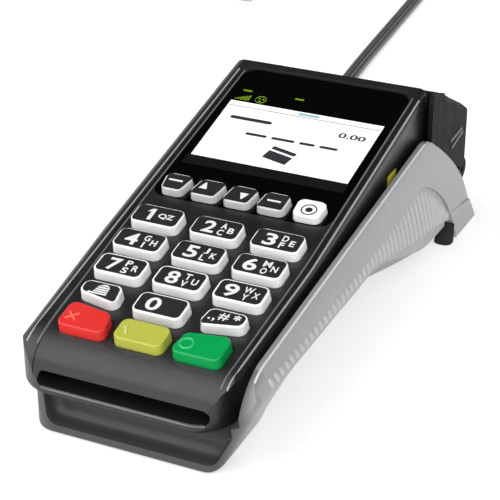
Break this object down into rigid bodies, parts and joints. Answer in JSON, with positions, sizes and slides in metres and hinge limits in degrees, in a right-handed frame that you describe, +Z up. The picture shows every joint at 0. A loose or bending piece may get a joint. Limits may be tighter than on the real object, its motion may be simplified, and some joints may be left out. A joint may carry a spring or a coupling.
{
  "type": "payment terminal",
  "caption": "Counter payment terminal: sloped keypad and display, chip card slot, side swipe groove, receipt printer under a hinged rear cover, and a twin cord.",
  "frame": {"origin": "on the table under the middle of the terminal's footprint, cord left out", "axes": "+X to the user's right, +Y to the rear, +Z up"},
  "size_m": [0.1892, 0.4909, 0.06],
  "materials": {
    "black_plastic": "fine matt texture",
    "grey_plastic": "satin",
    "window_black": "gloss",
    "key_white": "satin",
    "key_red": "satin",
    "key_yellow": "satin",
    "key_green": "satin",
    "rubber_black": "matt",
    "mat_rubber": "matt",
    "board_green": "solder mask",
    "display_glass": "glass",
    "inner_plastic": "moulded",
    "steel": "plated",
    "gold": "plated",
    "white_gear": "acetal",
    "paper": "thermal paper",
    "cord_black": "satin jacket",
    "plug_clear": "clear"
  },
  "bodies": {
    "base": {"lower_casing": "grey_plastic", "upper_housing": "black_plastic", "display_window": "window_black", "key_mat": "mat_rubber", "main_board": "board_green", "display_module": "display_glass", "backup_cell": "steel", "buzzer": "inner_plastic", "antenna_loop": "board_green", "chip_card_reader": "inner_plastic", "chip_contacts": "gold", "head_spring": "steel", "printer_motor": "steel", "printer_frame": "inner_plastic", "thermal_head": "steel", "cover_hinge_pin": "steel", "tear_bar": "steel", "rubber_feet": "rubber_black", "bottom_door": "grey_plastic", "casing_screws": "steel", "cord_gland": "cord_black", "cord_stretch": "cord_black", "cord_coil": "cord_black", "cord_plug": "plug_clear"},
    "key_1": {"key_1": "key_white"},
    "key_2": {"key_2": "key_white"},
    "key_3": {"key_3": "key_white"},
    "key_4": {"key_4": "key_white"},
    "key_5": {"key_5": "key_white"},
    "key_6": {"key_6": "key_white"},
    "key_7": {"key_7": "key_white"},
    "key_8": {"key_8": "key_white"},
    "key_9": {"key_9": "key_white"},
    "key_paper": {"key_paper": "key_white"},
    "key_0": {"key_0": "key_white"},
    "key_sign": {"key_sign": "key_white"},
    "key_cancel": {"key_cancel": "key_red"},
    "key_clear": {"key_clear": "key_yellow"},
    "key_enter": {"key_enter": "key_green"},
    "key_f1": {"key_f1": "key_white"},
    "key_up": {"key_up": "key_white"},
    "key_down": {"key_down": "key_white"},
    "key_f4": {"key_f4": "key_white"},
    "key_dot": {"key_dot": "key_white"},
    "head": {"magnetic_head": "gold"},
    "cover": {"paper_cover": "black_plastic"},
    "platen": {"platen_roller": "rubber_black", "platen_gear": "white_gear"},
    "drive": {"drive_gear": "white_gear"},
    "pinion": {"motor_gear": "gold"},
    "roll": {"paper_roll": "paper"}
  },
  "joints": [
    {"name": "key_1_press", "type": "slide", "parent": "base", "child": "key_1", "axis": [0, 0.2171, -0.9761], "range_m": [0, 0.0009], "stiffness_N_per_m": 800, "springref_m": -0.0003},
    {"name": "key_2_press", "type": "slide", "parent": "base", "child": "key_2", "axis": [0, 0.2171, -0.9761], "range_m": [0, 0.0009], "stiffness_N_per_m": 800, "springref_m": -0.0003},
    {"name": "key_3_press", "type": "slide", "parent": "base", "child": "key_3", "axis": [0, 0.2171, -0.9761], "range_m": [0, 0.0009], "stiffness_N_per_m": 800, "springref_m": -0.0003},
    {"name": "key_4_press", "type": "slide", "parent": "base", "child": "key_4", "axis": [0, 0.2171, -0.9761], "range_m": [0, 0.0009], "stiffness_N_per_m": 800, "springref_m": -0.0003},
    {"name": "key_5_press", "type": "slide", "parent": "base", "child": "key_5", "axis": [0, 0.2171, -0.9761], "range_m": [0, 0.0009], "stiffness_N_per_m": 800, "springref_m": -0.0003},
    {"name": "key_6_press", "type": "slide", "parent": "base", "child": "key_6", "axis": [0, 0.2171, -0.9761], "range_m": [0, 0.0009], "stiffness_N_per_m": 800, "springref_m": -0.0003},
    {"name": "key_7_press", "type": "slide", "parent": "base", "child": "key_7", "axis": [0, 0.2171, -0.9761], "range_m": [0, 0.0009], "stiffness_N_per_m": 800, "springref_m": -0.0003},
    {"name": "key_8_press", "type": "slide", "parent": "base", "child": "key_8", "axis": [0, 0.2171, -0.9761], "range_m": [0, 0.0009], "stiffness_N_per_m": 800, "springref_m": -0.0003},
    {"name": "key_9_press", "type": "slide", "parent": "base", "child": "key_9", "axis": [0, 0.2171, -0.9761], "range_m": [0, 0.0009], "stiffness_N_per_m": 800, "springref_m": -0.0003},
    {"name": "key_paper_press", "type": "slide", "parent": "base", "child": "key_paper", "axis": [0, 0.2171, -0.9761], "range_m": [0, 0.0009], "stiffness_N_per_m": 800, "springref_m": -0.0003},
    {"name": "key_0_press", "type": "slide", "parent": "base", "child": "key_0", "axis": [0, 0.2171, -0.9761], "range_m": [0, 0.0009], "stiffness_N_per_m": 800, "springref_m": -0.0003},
    {"name": "key_sign_press", "type": "slide", "parent": "base", "child": "key_sign", "axis": [0, 0.2171, -0.9761], "range_m": [0, 0.0009], "stiffness_N_per_m": 800, "springref_m": -0.0003},
    {"name": "key_cancel_press", "type": "slide", "parent": "base", "child": "key_cancel", "axis": [0, 0.2171, -0.9761], "range_m": [0, 0.0009], "stiffness_N_per_m": 800, "springref_m": -0.0003},
    {"name": "key_clear_press", "type": "slide", "parent": "base", "child": "key_clear", "axis": [0, 0.2171, -0.9761], "range_m": [0, 0.0009], "stiffness_N_per_m": 800, "springref_m": -0.0003},
    {"name": "key_enter_press", "type": "slide", "parent": "base", "child": "key_enter", "axis": [0, 0.2171, -0.9761], "range_m": [0, 0.0009], "stiffness_N_per_m": 800, "springref_m": -0.0003},
    {"name": "key_f1_press", "type": "slide", "parent": "base", "child": "key_f1", "axis": [0, 0.2171, -0.9761], "range_m": [0, 0.0009], "stiffness_N_per_m": 800, "springref_m": -0.0003},
    {"name": "key_up_press", "type": "slide", "parent": "base", "child": "key_up", "axis": [0, 0.2171, -0.9761], "range_m": [0, 0.0009], "stiffness_N_per_m": 800, "springref_m": -0.0003},
    {"name": "key_down_press", "type": "slide", "parent": "base", "child": "key_down", "axis": [0, 0.2171, -0.9761], "range_m": [0, 0.0009], "stiffness_N_per_m": 800, "springref_m": -0.0003},
    {"name": "key_f4_press", "type": "slide", "parent": "base", "child": "key_f4", "axis": [0, 0.2171, -0.9761], "range_m": [0, 0.0009], "stiffness_N_per_m": 800, "springref_m": -0.0003},
    {"name": "key_dot_press", "type": "slide", "parent": "base", "child": "key_dot", "axis": [0, 0.2171, -0.9761], "range_m": [0, 0.0009], "stiffness_N_per_m": 800, "springref_m": -0.0003},
    {"name": "head_float", "type": "slide", "parent": "base", "child": "head", "axis": [-1, 0, 0], "range_m": [0, 0.0004], "stiffness_N_per_m": 1200, "springref_m": -0.0003},
    {"name": "cover_hinge", "type": "hinge", "parent": "base", "child": "cover", "pos_m": [-0.0031, 0.0926, 0.0176], "axis": [-1, 0, 0], "range_deg": [0, 85]},
    {"name": "platen_spin", "type": "hinge", "parent": "cover", "child": "platen", "pos_m": [-0.0031, 0.0648, 0.0484], "axis": [1, 0, 0], "continuous": true},
    {"name": "drive_spin", "type": "hinge", "parent": "base", "child": "drive", "pos_m": [-0.0031, 0.05545, 0.03996], "axis": [1, 0, 0], "continuous": true},
    {"name": "pinion_spin", "type": "hinge", "parent": "base", "child": "pinion", "pos_m": [-0.0031, 0.0452, 0.03496], "axis": [1, 0, 0], "continuous": true},
    {"name": "roll_spin", "type": "hinge", "parent": "base", "child": "roll", "pos_m": [-0.0031, 0.0706, 0.0194], "axis": [1, 0, 0], "continuous": true}
  ],
  "couplings": [
    {"joint": "platen_spin", "follows": "roll_spin", "ratio": 4.1},
    {"joint": "drive_spin", "follows": "roll_spin", "ratio": -2.5231},
    {"joint": "pinion_spin", "follows": "roll_spin", "ratio": 5.4667}
  ]
}
